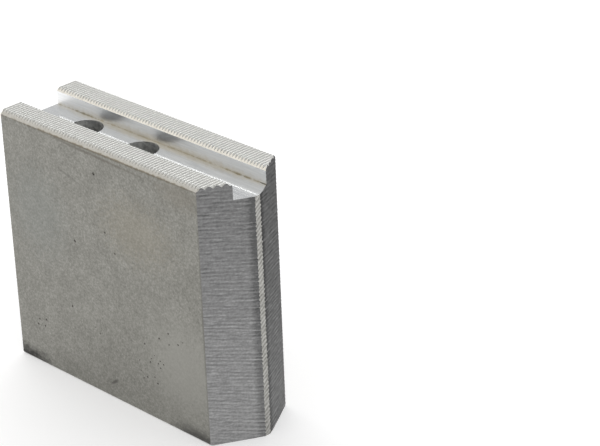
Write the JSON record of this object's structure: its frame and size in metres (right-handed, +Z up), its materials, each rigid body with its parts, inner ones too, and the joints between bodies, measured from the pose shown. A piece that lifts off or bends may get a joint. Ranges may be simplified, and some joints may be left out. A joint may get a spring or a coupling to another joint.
{
  "type": "machinable soft jaw",
  "caption": "Solid aluminium top jaw blank for a power chuck: a pointed block with serrated rails, a central tongue slot and counterbored bolt holes.",
  "frame": {"origin": "middle of the gripping face that the jaw stands on, halfway along its full length", "axes": "+X along the jaw from its back end to the pointed nose, +Y across the width, +Z up towards the serrated mounting face"},
  "size_m": [0.1142, 0.0382, 0.1016],
  "materials": {
    "machined_aluminium": "mill finish sides, sawn nose, milled serrations and slot, bare"
  },
  "bodies": {
    "root": {"soft_jaw": "machined_aluminium"}
  },
  "joints": []
}
